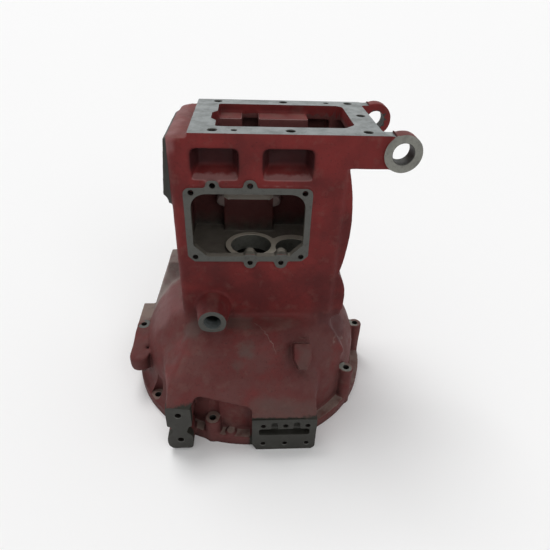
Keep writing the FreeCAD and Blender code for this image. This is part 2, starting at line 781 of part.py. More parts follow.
def mouth_core():
    """The top mouth: cut corners on the right, a step in the left edge."""
    mouth_corners = [
        ("-mouth_left", "-mouth_front"),
        ("mouth_right - mouth_corner", "-mouth_front"),
        ("mouth_right", "-mouth_front + mouth_corner"),
        ("mouth_right", "mouth_back - mouth_corner / 2"),
        ("mouth_right - mouth_corner / 2", "mouth_back"),
        ("-mouth_left", "mouth_back"),
        ("-mouth_left", "mouth_back / 3"),
        ("-mouth_left - mouth_notch", "mouth_back / 6"),
        ("-mouth_left - mouth_notch", "-mouth_front / 3"),
        ("-mouth_left", "-mouth_front / 2"),
    ]
    return level_plate("TopMouth", mouth_corners, "pocket_roof - overlap",
                       "flange_top - pocket_roof + 2 * overlap")


def pocket_spans():
    return (("pocket_left_from", "pocket_left_to"), ("pocket_right_from", "pocket_right_to"))


def inner_forms():
    """Walls round the nut pockets, bearing rings and the step of the back wall."""
    forms = []
    high = "pocket_roof - pocket_floor + case_wall + pocket_cap"
    low = "pocket_floor - case_wall"
    for index, (start, end) in enumerate(pocket_spans()):
        wide = "%s - (%s) + 2 * case_wall" % (end, start)
        forms.append(box("PocketWallFront%d" % index, wide, "pocket_depth + case_wall / 2", high,
                         "%s - case_wall" % start, "-case_front + case_wall / 2", low))
        forms.append(box("PocketWallBack%d" % index, "%s - case_wall" % wide,
                         "pocket_depth_back + case_wall / 2", high, "%s - case_wall / 2" % start,
                         "case_back - pocket_depth_back - case_wall", low))
    deep = "bearing_wall + bearing_ring_rise"
    for name, x, y in (("Main", "0", "0"), ("Counter", "counter_across", "counter_along")):
        forms.append(upright("BearingRing" + name, "bearing_ring", deep, x, y,
                             "bearing_floor - bearing_wall"))
    forms.append(box("BackShelf", "2 * shelf_half", "shelf_deep + case_wall / 2",
                     "shelf_top - bearing_floor + overlap", "shelf_middle - shelf_half",
                     "case_back - case_wall - shelf_deep", "bearing_floor - overlap"))
    return forms


def bore_tools():
    """Bearing bores, release shaft bore and ear bores."""
    through = "bearing_wall + bearing_ring_rise + 2 * overlap"
    bottom = "bearing_floor - bearing_wall - overlap"
    main = upright("MainBore", "main_bore", through, "0", "0", bottom)
    counter = upright("CounterBore", "counter_bore", through, "counter_across", "counter_along", bottom)
    shaft_long = "case_front + case_back + shaft_reach + shaft_back + 2 * overlap"
    shaft = lying("ShaftBore", "shaft_bore", shaft_long, "shaft_across",
                  "-case_front - shaft_reach - overlap", "shaft_height")
    ears = lying("EarBore", "ear_bore", "case_front + case_back + ear_proud + 2 * overlap", "ear_across",
                 "-case_front - ear_proud - overlap", "ear_height")
    return [main, counter, shaft, ears]


def pocket_tools():
    """The nut pockets under the top flange."""
    tools = []
    high = "pocket_roof - pocket_floor"
    for index, (start, end) in enumerate(pocket_spans()):
        wide = "%s - (%s)" % (end, start)
        tools.append(box("PocketFront%d" % index, wide, "pocket_depth + overlap", high, start,
                         "-case_front - overlap", "pocket_floor"))
        tools.append(box("PocketBack%d" % index, "%s - case_wall" % wide, "pocket_depth_back + overlap",
                         high, "%s + case_wall / 2" % start, "case_back - pocket_depth_back", "pocket_floor"))
    return tools


def bell_hole_tools():
    """Holes up the bell bolt columns."""
    tools = []
    for angle in bell_angles():
        x, y = on_circle("bolt_circle", angle)
        high = column_top(angle) + " + 2 * overlap"
        tools.append(upright("BellBolt%d" % angle, "bell_bolt_hole", high, x, y, "-overlap"))
    return tools


def top_hole_tools():
    """Through holes and dowel holes in the top flange."""
    tools = []
    high = "flange_top - pocket_roof + 2 * overlap"
    rows = (("Front", "-top_row_front"), ("Back", "top_row_back"))
    for side, along in rows:
        for index, across in enumerate(("top_hole_left", "top_hole_middle")):
            tools.append(upright("TopBolt%s%d" % (side, index), "top_bolt_hole", high, across, along,
                                 "pocket_roof - overlap"))
    right = (("Front", "top_hole_right", "-top_row_front"), ("Back", "top_hole_right", "top_row_back"),
             ("Middle", "top_side_hole", "top_side_along"))
    for side, across, along in right:
        tools.append(upright("TopBoltRight" + side, "top_bolt_hole",
                             "flange_top - collar_bottom + 2 * overlap", across, along,
                             "collar_bottom - overlap"))
    dowels = (("top_dowel_front", "-top_row_front"), ("top_dowel_back", "top_row_back"))
    for index, (across, along) in enumerate(dowels):
        tools.append(upright("TopDowel%d" % index, "top_dowel_hole", "top_dowel_deep + overlap", across,
                             along, "flange_top - top_dowel_deep"))
    return tools


def window_hole_tools():
    face = "-case_front - window_face - overlap"
    return [lying("WindowHole%d" % index, "window_hole", "window_hole_deep + overlap", across, face, up)
            for index, (across, up) in enumerate(window_corner_bolts() + window_middle_bolts())]


def pad_tools():
    """Six tapped holes and the cast slot with its two notches."""
    tools = []
    face = "-pad_face - overlap"
    for column in (-1, 0, 1):
        for row in (0, 1):
            name = "PadHole%d%d" % (column + 1, row)
            across = "pad_middle + %d * pad_pitch" % column
            tools.append(lying(name, "pad_hole", "pad_hole_deep + overlap", across, face,
                               "pad_low_row + %d * pad_row" % row))
    tools.append(box("PadSlot", "pad_right - pad_left - 2 * slot_end", "slot_deep + overlap",
                     "slot_high - slot_low", "pad_left + slot_end", face, "slot_low"))
    for side in (-0.5, 0.5):
        across = "pad_middle + %.1f * pad_pitch - slot_notch / 2" % side
        tools.append(box("PadNotch%d" % (side + 1), "slot_notch", "slot_deep + overlap",
                         "slot_notch_high - slot_low", across, face, "slot_low"))
    return tools


def foot_tools():
    """Holes of the two-bolt foot."""
    return [lying("FootHole%d" % row, "foot_hole", "foot_hole_deep + overlap", "foot_middle",
                  "-foot_face - overlap", "foot_low_hole + %d * foot_spacing" % row)
            for row in (0, 1)]


def build_housing():
    """Outer forms, less the cores, with the inner forms, less the machining."""
    outer = bell_forms() + [case_form()] + swell_forms() + collar_forms() + window_forms() + shaft_forms()
    outer += pad_forms() + [apron_form()] + foot_forms() + side_forms() + [nose_form(), side_pad_form()]
    pattern = fuse("Pattern", outer)
    core = fuse("Cores", cores())
    hollow = cut("HollowCasting", pattern, core)
    walled = fuse("WalledCasting", [hollow] + inner_forms())
    tools = bore_tools() + pocket_tools() + bell_hole_tools() + top_hole_tools()
    tools += window_hole_tools() + pad_tools() + foot_tools()
    machining = fuse("Machining", tools)
    housing = cut("HousingCasting", walled, machining)
    housing.Label = "housing_casting"
    return housing


def check(housing):
    """Stops when any object failed or the casting isn't one sound solid."""
    for thing in doc.Objects:
        if "Invalid" in thing.State or "Error" in thing.State:
            raise RuntimeError("%s failed: %s" % (thing.Name, thing.State))
    shape = housing.Shape
    if shape.isNull() or not shape.isValid():
        raise RuntimeError("the casting isn't a valid shape")
    if len(shape.Solids) != 1:
        raise RuntimeError("the casting came out in %d pieces" % len(shape.Solids))


def write(housing):
    os.makedirs("parts", exist_ok=True)
    housing.Shape.exportStep("parts/%s.step" % housing.Label)


HOUSING = build_housing()
check(HOUSING)
write(HOUSING)
print("volume cm3", round(HOUSING.Shape.Volume / 1000, 1), HOUSING.Shape.BoundBox)
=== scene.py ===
"""Looks of a used gearbox housing: worn enamel on sand-cast iron, faced and bored surfaces bare.

The casting is made here as it is made in the works. A copy of the modelled body gets stock on
the faces that are machined and plugs in its bores. It is then remeshed and smoothed, which
gives the cast edges their roundness, and last it is faced and bored to the modelled size.
"""

import json
import math

import bmesh
import bpy
import numpy as np
from mathutils import Matrix


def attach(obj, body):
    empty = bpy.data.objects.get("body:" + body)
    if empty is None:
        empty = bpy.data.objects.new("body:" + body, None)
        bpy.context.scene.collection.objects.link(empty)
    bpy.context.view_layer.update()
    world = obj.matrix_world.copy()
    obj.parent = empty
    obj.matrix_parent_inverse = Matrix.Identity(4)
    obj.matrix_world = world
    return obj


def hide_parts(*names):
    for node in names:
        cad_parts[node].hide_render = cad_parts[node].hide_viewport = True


bl_info = {
    "name": "Gearbox Housing",
    "version": (1, 0, 0),
    "blender": (4, 5, 0),
    "location": "View3D > Sidebar > Housing",
    "description": "Dresses the cast gearbox housing and sets up its studio",
    "category": "Object",
}

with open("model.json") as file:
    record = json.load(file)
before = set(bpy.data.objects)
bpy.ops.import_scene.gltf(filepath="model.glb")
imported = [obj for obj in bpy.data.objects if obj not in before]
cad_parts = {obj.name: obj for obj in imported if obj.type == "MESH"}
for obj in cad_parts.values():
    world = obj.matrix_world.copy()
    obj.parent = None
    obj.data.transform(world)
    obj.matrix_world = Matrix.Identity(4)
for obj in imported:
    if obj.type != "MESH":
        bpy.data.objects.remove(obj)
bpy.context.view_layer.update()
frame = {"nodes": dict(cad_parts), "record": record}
NODE = "housing_casting"
BODY = "root"
PIECE = "housing_dressed"
MM = 0.001
MOUNTS = {mount["name"]: mount for mount in frame["record"]["mounts"]}
OPENINGS = {hole["name"]: hole["box_m"] for hole in frame["record"]["physics"]["openings"]}
RIGHTWARD, BACKWARD, UPWARD = np.eye(3)
# Two places nearer than this are the same place.
TOUCH = 0.02 * MM
# The spot faces are cut this deep.
SEAT_DEPTH = 0.5 * MM
# A wall ends where more corners than this lie on its circle.
RING_CORNERS = 40
# Faces that meet at a steeper angle than this have a sharp edge between them.
SHARP = math.radians(38)
# Finishes of the casting, in the order of its material slots.
PAINTED, INNER, BRIGHT, WORN, OILED, BLACK = range(6)
FRONT_POCKETS = ("nut_pocket_front_left", "nut_pocket_front_right")
BACK_POCKETS = ("nut_pocket_back_left", "nut_pocket_back_right")


class HousingSizes(bpy.types.PropertyGroup):
    """Sizes of the casting that a user may change."""
    voxel: bpy.props.FloatProperty(
        name="Grid", description="Step of the grid that the casting is remeshed on", default=1.8 * MM,
        unit="LENGTH", precision=5)
    rounding: bpy.props.IntProperty(
        name="Rounding", description="Smoothing passes that round every cast edge", default=9)
    softening: bpy.props.IntProperty(
        name="Softening", description="More passes where the pattern has large radii", default=90)
    unevenness: bpy.props.FloatProperty(
        name="Unevenness", description="Depth of the waves that the sand mould leaves", default=0.8 * MM,
        unit="LENGTH", precision=5)
    wave: bpy.props.FloatProperty(
        name="Wave", description="Width of those waves", default=26 * MM, unit="LENGTH", precision=5)
    stock: bpy.props.FloatProperty(
        name="Stock", description="Iron left on a face before it is machined", default=4.0 * MM,
        unit="LENGTH", precision=5)
    chamfer: bpy.props.FloatProperty(
        name="Chamfer", description="Bevel at the mouth of a bore or hole", default=0.9 * MM,
        unit="LENGTH", precision=5)
    spot: bpy.props.FloatProperty(
        name="Spot face", description="Radius of the spot face round a flange bolt", default=13 * MM,
        unit="LENGTH", precision=5)
    dome_low: bpy.props.FloatProperty(
        name="Dome foot", description="Radius of the bell where its dome starts", default=206 * MM,
        unit="LENGTH", precision=5)
    dome_in: bpy.props.FloatProperty(
        name="Dome rise", description="How far the dome draws in up to its top", default=68 * MM,
        unit="LENGTH", precision=5)
    triangles: bpy.props.IntProperty(
        name="Triangles", description="Triangles kept in the casting before it is machined",
        default=166000)


class HousingColours(bpy.types.PropertyGroup):
    """Colours of the finishes, as sRGB hex."""
    enamel: bpy.props.StringProperty(
        name="Enamel", description="Maroon enamel, sRGB hex", default="#6d2524")
    enamel_deep: bpy.props.StringProperty(
        name="Deep enamel", description="Enamel in its darker fields, sRGB hex", default="#4a1b1b")
    enamel_low: bpy.props.StringProperty(
        name="Soiled enamel", description="Enamel low on the bell, sRGB hex", default="#573331")
    dust: bpy.props.StringProperty(
        name="Dust", description="Dust lying on level faces, sRGB hex", default="#7b6a62")
    # This colour also paints shade into the hollows of every finish, beside the oily dirt it stands for.
    grime_and_shade: bpy.props.StringProperty(
        name="Grime", description="Oily dirt in the hollows, sRGB hex", default="#1c1312")
    iron: bpy.props.StringProperty(
        name="Bare casting", description="Unpainted cast skin inside, sRGB hex", default="#45423a")
    bright: bpy.props.StringProperty(
        name="Bright iron", description="Clean machined face, sRGB hex", default="#757b7b")
    worn: bpy.props.StringProperty(
        name="Worn iron", description="Machined face dulled by dust, sRGB hex", default="#797972")
    oiled: bpy.props.StringProperty(
        name="Oiled iron", description="Machined face darkened by oil, sRGB hex", default="#474743")
    black: bpy.props.StringProperty(
        name="Blackened iron", description="Machined pads under old dirt, sRGB hex", default="#262520")
    floor: bpy.props.StringProperty(
        name="Floor", description="Floor of the studio, sRGB hex", default="#f4f4f4")


def linear(text, alpha=1.0):
    """An sRGB hex colour as linear values: the sRGB curve taken back, channel by channel."""
    value = np.array([int(text[i:i + 2], 16) / 255 for i in (1, 3, 5)])
    light = np.where(value <= 0.04045, value / 12.92, ((value + 0.055) / 1.055) ** 2.4)
    return tuple(light) + (alpha,)


def sizes():
    """The sizes in the sidebar."""
    return bpy.context.scene.housing_sizes


def colours():
    """The colours in the sidebar."""
    return bpy.context.scene.housing_colours


def new_piece(name, points, faces):
    """An object at the origin with a mesh of these points and faces."""
    mesh = bpy.data.meshes.new(name)
    mesh.from_pydata(np.asarray(points).tolist(), [], faces)
    mesh.validate()
    piece = bpy.data.objects.new(name, mesh)
    bpy.context.scene.collection.objects.link(piece)
    return piece


def basis(axis):
    """The axis as a unit vector, and two more square to it and to each other."""
    axis = np.asarray(axis, float)
    axis = axis / np.linalg.norm(axis)
    helper = UPWARD if abs(axis[2]) < 0.9 else RIGHTWARD
    first = np.cross(helper, axis)
    first = first / np.linalg.norm(first)
    return axis, first, np.cross(axis, first)


def lathe(profile, centre, axis, sides=48):
    """A closed turned form. Ring i lies at centre + along_i * axis, and its point at angle t is
    radius_i * (cos t * first + sin t * second) from there; flat caps close both ends.
    profile holds rows of (along, radius)."""
    axis, first, second = basis(axis)
    profile = np.asarray(profile, float)
    turn = np.linspace(0, 2 * np.pi, sides, endpoint=False)
    spoke = np.cos(turn)[:, None] * first + np.sin(turn)[:, None] * second
    points = (np.asarray(centre, float) + profile[:, 0, None, None] * axis
              + profile[:, 1, None, None] * spoke[None]).reshape(-1, 3)
    rings = len(profile)
    low = (np.arange(rings - 1)[:, None] * sides + np.arange(sides)).ravel()
    beside = (np.arange(rings - 1)[:, None] * sides + (np.arange(sides) + 1) % sides).ravel()
    faces = np.stack([low, beside, beside + sides, low + sides], axis=1).tolist()
    faces.append(list(range(sides))[::-1])
    faces.append(list(range((rings - 1) * sides, rings * sides)))
    return points, faces


def swept(section, start, end, steps=96):
    """A closed section of (radius, height) pairs carried round the shaft axis from start to end
    degrees: point = (radius * cos t, radius * sin t, height). A full turn closes on itself, and
    a shorter one is capped by its section."""
    section = np.asarray(section, float)
    full = end - start >= 360
    turn = np.radians(np.linspace(start, end, steps, endpoint=not full))
    points = np.stack([section[:, 0] * np.cos(turn)[:, None], section[:, 0] * np.sin(turn)[:, None],
                       np.broadcast_to(section[:, 1], (steps, len(section)))], axis=2).reshape(-1, 3)
    count = len(section)
    laps = np.arange(steps if full else steps - 1)[:, None]
    corner = np.arange(count)
    here, ahead = laps * count, (laps + 1) % steps * count
    beside = (corner + 1) % count
    faces = np.stack([here + corner, ahead + corner, ahead + beside, here + beside], axis=2)
    faces = faces.reshape(-1, 4).tolist()
    if not full:
        faces.append(list(range(count)))
        faces.append(list(range((steps - 1) * count, steps * count))[::-1])
    return points, faces


def prism(outline, across, up, away, low, high):
    """A flat outline of (a, b) pairs carried from low to high: point = a * across + b * up + w * away."""
    outline = np.asarray(outline, float)
    flat = outline[:, :1] * np.asarray(across, float) + outline[:, 1:] * np.asarray(up, float)
    ends = [flat + level * np.asarray(away, float) for level in (low, high)]
    points = np.concatenate(ends)
    count = len(outline)
    near = np.arange(count)
    beside = (near + 1) % count
    faces = np.stack([near, beside, beside + count, near + count], axis=1).tolist()
    faces.append(list(range(count))[::-1])
    faces.append(list(range(count, 2 * count)))
    return points, faces


def block(low, high):
    """A box between two corners."""
    outline = [(low[0], low[1]), (high[0], low[1]), (high[0], high[1]), (low[0], high[1])]
    return prism(outline, RIGHTWARD, BACKWARD, UPWARD, low[2], high[2])


def joined(name, forms):
    """Several closed forms as one mesh, with their faces turned outwards."""
    points, faces, start = [], [], 0
    for form_points, form_faces in forms:
        points.append(form_points)
        faces.extend([[index + start for index in face] for face in form_faces])
        start += len(form_points)
    piece = new_piece(name, np.concatenate(points), faces)
    body = bmesh.new()
    body.from_mesh(piece.data)
    bmesh.ops.recalc_face_normals(body, faces=body.faces)
    body.to_mesh(piece.data)
    body.free()
    return piece


def coordinates(mesh):
    """The mesh's corners as rows of x, y and z."""
    flat = np.empty(len(mesh.vertices) * 3, np.float32)
    mesh.vertices.foreach_get("co", flat)
    return flat.reshape(-1, 3).astype(float)


def pattern_points(mount):
    """Hole centres of a mount: a bore's own point, or those of its circle, rectangle or line."""
    centre = np.array(mount["pos_m"], float)
    dims = mount["dims"]
    axis = np.abs(np.array(mount["axis"], float))
    if mount["kind"] == "bore":
        return [centre]
    if "pcd_mm" in dims:
        turn = np.linspace(0, 2 * np.pi, dims["count"], endpoint=False)
        reach = dims["pcd_mm"] / 2 * MM
        return list(centre + reach * np.stack([np.cos(turn), np.sin(turn), 0 * turn], axis=1))
    first, second = [np.eye(3)[index] for index in range(3) if axis[index] < 0.5]
    wide = dims.get("spacing_x_mm", 0) / 2 * MM
    high = dims.get("spacing_y_mm", 0) / 2 * MM
    steps = [(a, b) for a in sorted({-wide, wide}) for b in sorted({-high, high})]
    return [centre + a * first + b * second for a, b in steps]


class Hole:
    """A round hole of the record, measured on the modelled body: its axis, its radius, the
    stretches of wall along it, and whether it goes right through."""

    def __init__(self, mount, centre, points, triangles):
        dims = mount["dims"]
        self.mount = mount["name"]
        self.centre = centre
        self.axis = np.array(mount["axis"], float)
        self.radius = dims.get("r_mm", dims.get("hole_r_mm")) * MM
        along, out = self.measure(points)
        on_wall = np.abs(out - self.radius) < TOUCH
        levels, counts = np.unique(np.round(along[on_wall] / MM, 1), return_counts=True)
        rings = levels[counts > RING_CORNERS] * MM
        if mount["kind"] != "bore":
            rings = rings[-2:]
        if len(rings) % 2 or not len(rings):
            raise RuntimeError("no walls found for %s" % self.mount)
        self.walls = list(zip(rings[0::2], rings[1::2]))
        self.start, self.end = rings[0], rings[-1]
        bottom = on_wall & (np.abs(along - self.start) < TOUCH)
        self.through = not bottom[triangles].all(axis=1).any()

    def measure(self, points):
        """Each point's place along the axis and its distance from it."""
        offset = points - self.centre
        along = offset @ self.axis
        return along, np.linalg.norm(offset - along[:, None] * self.axis, axis=1)


def all_holes(mesh):
    """Every bore and bolt hole of the record, measured on the body."""
    points = coordinates(mesh)
    triangles = np.empty(len(mesh.loops), np.int32)
    mesh.loops.foreach_get("vertex_index", triangles)
    triangles = triangles.reshape(-1, 3)
    return [Hole(mount, centre, points, triangles) for mount in MOUNTS.values()
            if mount["kind"] in ("bore", "bolt_pattern") for centre in pattern_points(mount)]


def end_of(name):
    """The place where a bore's mouth lies: its middle plus half its length along its axis."""
    mount = MOUNTS[name]
    half = mount["dims"]["length_mm"] / 2 * MM
    return np.array(mount["pos_m"]) + half * np.array(mount["axis"], float)


def machined_faces():
    """Faces that are machined: the axis each is square to, its level, the side it looks to, the
    limits of the cutter's way and its finish. Limits along the face's own axis aren't used."""
    top = MOUNTS["top_face"]["pos_m"][2]
    window = MOUNTS["window_face"]["pos_m"][1]
    pad = MOUNTS["pad_face"]["pos_m"][1]
    foot = MOUNTS["foot_bolts"]["pos_m"][1]
    boss = end_of("release_shaft_bore")
    ear = end_of("ear_bore")
    rings = end_of("counter_bearing_bore")
    around = np.array([32 * MM, 0, 32 * MM])
    boss_low = boss - (32 * MM, 0, 24 * MM)
    return [
        (2, top, 1, (-0.12, -0.12, 0), (0.199, 0.12, 0), BRIGHT),
        (2, 0.0, -1, (-0.24, -0.25, 0), (0.24, 0.24, 0), BLACK),
        (1, window, -1, (-0.104, 0, 0.278), (0.094, 0, 0.439), OILED),
        (1, pad, -1, (-0.001, 0, -0.004), (0.110, 0, 0.0775), BLACK),
        (1, foot, -1, (-0.142, 0, -0.004), (-0.0015, 0, 0.118), BLACK),
        (1, foot, -1, (-0.0015, 0, 0.0765), (0.112, 0, 0.118), PAINTED),
        (1, boss[1], -1, boss_low, boss + around, OILED),
        (1, ear[1], -1, ear - around, ear + around, WORN),
        (2, rings[2], 1, (-0.05, -0.06, 0), (0.125, 0.05, 0), WORN),
    ]


def on_face(points, axis, level, low, high):
    """True for points that lie on the plane and inside its limits."""
    near = np.abs(points[:, axis] - level) < TOUCH
    for other in range(3):
        if other != axis:
            near &= (points[:, other] > low[other]) & (points[:, other] < high[other])
    return near


def add_stock(points):
    """Moves the corners that lie on a machined face outwards by the stock."""
    moved = points.copy()
    for axis, level, side, low, high, _ in machined_faces():
        moved[on_face(points, axis, level, low, high), axis] += side * sizes().stock
    return moved


def plugs(holes):
    """Rods a little wider than each hole, as long as its walls."""
    return [lathe([(start, hole.radius + MM), (end, hole.radius + MM)], hole.centre, hole.axis)
            for hole in holes for start, end in hole.walls]


def dome_form():
    """The bell's dome between skirt and shoulder, fuller than a cone: its radius draws in with the
    square of the height, radius = foot - rise * share ** 2. Its inner side stays inside the iron."""
    skirt, shoulder, top = 62 * MM, 160 * MM, 181 * MM
    share = (np.linspace(skirt, shoulder, 12) - skirt) / (top - skirt)
    outer = np.stack([sizes().dome_low - sizes().dome_in * share ** 2, skirt + share * (top - skirt)], axis=1)
    inner = [(152 * MM, shoulder), (198 * MM, skirt)]
    return swept(np.concatenate([outer, inner]), 0, 360, 160)


def flange_cove():
    """A sloping fill between skirt and flange on the left of the foot. From the flange's edge in,
    radius = edge - (edge - skirt) * sin(share * 90 degrees), height = low + rise * share ** 1.5."""
    edge, skirt, inside = 224.5 * MM, 206 * MM, 199 * MM
    low, high = 19 * MM, 64 * MM
    share = np.linspace(0, 1, 7)
    outer = np.stack([edge - (edge - skirt) * np.sin(share * np.pi / 2),
                      low + (high - low) * share ** 1.5], axis=1)
    return swept(np.concatenate([outer, [(inside, high), (inside, low)]]), 198, 239, 40)


def pocket_drafts():
    """Tapered fills in the two front nut pockets: a slope on the floor and a wedge on each side,
    which give the pockets the draft that the pattern needs."""
    into_side, into_floor, front = 4 * MM, 3 * MM, -95.5 * MM
    rise, set_in = 15 * MM, 10 * MM
    forms = []
    for name in FRONT_POCKETS:
        low, high = OPENINGS[name]
        left, right = low[0] - into_side, high[0] + into_side
        floor, roof, back = low[2] - into_floor, high[2] + into_floor, high[1] + into_floor
        slope = [(front, floor), (back, floor), (back, floor + rise), (back - 4 * MM, floor + 0.8 * rise)]
        forms.append(prism(slope, BACKWARD, UPWARD, RIGHTWARD, left, right))
        for edge, inward in ((left, 1), (right, -1)):
            wedge = [(edge, front), (edge, back), (edge + inward * set_in, back)]
            forms.append(prism(wedge, RIGHTWARD, BACKWARD, UPWARD, floor, roof))
    return forms


def nose_form():
    """The shield-shaped lump on the right of the dome. Its face leans back, and its outline is level
    at the top and ends below in a blunt tip."""
    top, tip = np.array([0.084, -0.162, 0.176]), np.array([0.084, -0.190, 0.143])
    length = np.linalg.norm(tip - top)
    down = (tip - top) / length
    out = np.cross(down, RIGHTWARD)
    half, straight, thick = 15 * MM, 0.6 * length, 24 * MM
    tip_half = 0.45 * half
    outline = [(-half, 0), (half, 0), (half, straight), (tip_half, length), (-tip_half, length),
               (-half, straight)]
    points, faces = prism(outline, RIGHTWARD, down, out, -thick, 0)
    return points + top, faces


def ridge_form():
    """The soft ridge down the right flank of the dome: a half-buried spindle, thickest at two fifths."""
    high, low = np.array([0.118, -0.094, 0.174]), np.array([0.168, -0.112, 0.106])
    run = np.linalg.norm(low - high)
    return lathe([(0, 6 * MM), (0.4 * run, 12 * MM), (run, 7 * MM)], high, low - high)


def back_step():
    """The step on the back wall inside: a round boss at each end, and a sloping top between them."""
    forms = [lathe([(0, 10.5 * MM), (33 * MM, 11.5 * MM)], (across, 0.058, 0.327), BACKWARD)
             for across in (-0.053, 0.045)]
    slope = [(0.062, 0.322), (0.089, 0.322), (0.089, 0.344), (0.062, 0.330)]
    forms.append(prism(slope, BACKWARD, UPWARD, RIGHTWARD, -0.051, 0.043))
    return forms


def flange_boss():
    """A low tapered boss on the bell flange, on the bolt circle inside the front recess."""
    turn = math.radians(-99.5)
    reach = MOUNTS["bell_bolts"]["dims"]["pcd_mm"] / 2 * MM
    foot = (reach * math.cos(turn), reach * math.sin(turn), 10 * MM)
    return lathe([(0, 10 * MM), (14 * MM, 8.5 * MM)], foot, UPWARD)


def window_seats():
    """Round seats behind the two lower bolts of the window."""
    window = MOUNTS["window_face"]["pos_m"][1]
    sill = OPENINGS["shift_window"][0][2] - 11.5 * MM
    return [lathe([(0, 10 * MM), (14 * MM, 10 * MM)], (centre[0], window, sill), BACKWARD)
            for centre in pattern_points(MOUNTS["window_lower_bolts"])]


def cast_extras():
    """The cast forms that the modelled body has plainer or lacks. One of them is a cone that widens
    the release boss towards the wall."""
    boss = end_of("release_shaft_bore")
    boss_root = lathe([(6 * MM, 24 * MM), (46 * MM, 31 * MM)], boss, BACKWARD)
    return (pocket_drafts() + [dome_form(), flange_cove(), nose_form()] + window_seats() + back_step()
            + [ridge_form(), boss_root, flange_boss()])


def baked(piece):
    """The piece's mesh with its modifiers applied."""
    depsgraph = bpy.context.evaluated_depsgraph_get()
    mesh = bpy.data.meshes.new_from_object(piece.evaluated_get(depsgraph))
    piece.modifiers.clear()
    old = piece.data
    piece.data = mesh
    bpy.data.meshes.remove(old)
    return piece


def ramp(value, low, high):
    """0 up to low, 1 from high on, and a smooth step between."""
    share = np.clip((value - low) / (high - low), 0, 1)
    return share * share * (3 - 2 * share)


def softness(points):
    """How strongly each point takes part in the softening: the dome's shoulder and the apron, the
    apron's side edges, the end of the ledge, the lip over the recess, the upper left corner of the
    case and the mouths of the front pockets. Each is a product of smooth steps in millimetres."""
    x, y, z = points.T / MM
    nose = ramp(np.hypot(x - 84, y + 166), 26, 44)
    dome = ramp(z, 88, 100) * ramp(-z, -190, -180) * ramp(y, -222, -208) * nose
    apron = ramp(z, 66, 78) * ramp(-z, -150, -130) * ramp(y, -224, -214) * ramp(-y, 110, 125)
    left_edge = 0.8 * ramp(-x, 118, 128) * ramp(x, -165, -155) * apron
    right_edge = 0.7 * ramp(x, 98, 106) * ramp(-x, -135, -122) * apron
    ledge = 0.7 * ramp(-x, 188, 200) * ramp(z, 28, 40) * ramp(-y, 20, 60) * ramp(-z, -120, -105)
    lip = 0.6 * ramp(-y, 196, 206) * ramp(z, 82, 92) * ramp(x, -97, -88) * ramp(-x, 2, 10)
    corner = 0.5 * ramp(-x, 100, 108) * ramp(z, 484, 489)
    mouths = 0.3 * ramp(-y, 84, 90) * ramp(z, 436, 444) * ramp(-z, -488, -482) * ramp(-np.abs(x), -104, -98)
    return np.maximum.reduce([dome, left_edge, right_edge, ledge, lip, corner, mouths])


def relax(piece, weight, passes):
    """Smooths by weight: in each pass a point p moves to p + weight / 2 * (mean of neighbours - p)."""
    mesh = piece.data
    points = coordinates(mesh)
    pairs = np.empty(len(mesh.edges) * 2, np.int32)
    mesh.edges.foreach_get("vertices", pairs)
    pairs = pairs.reshape(-1, 2)
    pairs = pairs[(weight[pairs] > 0).any(axis=1)]
    here = np.concatenate([pairs[:, 0], pairs[:, 1]])
    there = np.concatenate([pairs[:, 1], pairs[:, 0]])
    names, here = np.unique(here, return_inverse=True)
    there = np.searchsorted(names, there)
    active = points[names]
    degree = np.bincount(here, minlength=len(names))[:, None]
    share = weight[names][:, None] / 2
    for _ in range(passes):
        total = np.stack([np.bincount(here, active[there, k], len(names)) for k in range(3)], axis=1)
        active += share * (total / degree - active)
    points[names] = active
    mesh.vertices.foreach_set("co", points.astype(np.float32).ravel())
    mesh.update()


def rough_casting(source, holes):
    """The casting before machining, rounded by remeshing and smoothing, and thinned to its triangles."""
    faces = [list(face.vertices) for face in source.polygons]
    rough = joined("rough", [(add_stock(coordinates(source)), faces)] + plugs(holes) + cast_extras())
    body = bmesh.new()
    body.from_mesh(rough.data)
    bmesh.ops.remove_doubles(body, verts=body.verts, dist=TOUCH / 4)
    body.to_mesh(rough.data)
    body.free()
    remesh = rough.modifiers.new("Sand", "REMESH")
    remesh.mode = "VOXEL"
    remesh.voxel_size = sizes().voxel
    smooth = rough.modifiers.new("Round", "SMOOTH")
    smooth.factor = 0.5
    smooth.iterations = sizes().rounding
    baked(rough)
    relax(rough, softness(coordinates(rough.data)), sizes().softening)
    waves = bpy.data.textures.new("Mould", "CLOUDS")
    waves.noise_scale = sizes().wave
    waves.noise_depth = 2
    displace = rough.modifiers.new("Mould", "DISPLACE")
    displace.texture = waves
    displace.texture_coords = "LOCAL"
    # The waves only go into the iron, so the casting stays within its size.
    displace.mid_level = 1.0
    displace.strength = sizes().unevenness
    count = sum(len(face.vertices) - 2 for face in rough.data.polygons)
    thin = rough.modifiers.new("Thin", "DECIMATE")
    thin.ratio = min(1.0, sizes().triangles / count)
    return baked(rough)


def carve(piece, forms):
    """Takes the forms out of the piece."""
    tool = joined("tool", forms)
    cut = piece.modifiers.new("Cut", "BOOLEAN")
    cut.operation = "DIFFERENCE"
    cut.solver = "MANIFOLD"
    cut.object = tool
    baked(piece)
    bpy.data.objects.remove(tool)


def face_off(piece):
    """Machines each face with a block of air in front of it."""
    reach = 3 * sizes().stock
    for axis, level, side, low, high, _ in machined_faces():
        near, far = list(low), list(high)
        near[axis], far[axis] = sorted((level, level + side * reach))
        carve(piece, [block(near, far)])


def foot_notch():
    """The round notch in the foot's left edge."""
    radius = 9 * MM
    return lathe([(-240 * MM, radius), (-205 * MM, radius)], (-143.5 * MM, 0, 53 * MM), BACKWARD)


def seated(hole):
    """True for the flange bolts that stand clear and so have a spot face."""
    return hole.mount == "bell_bolts" and hole.through


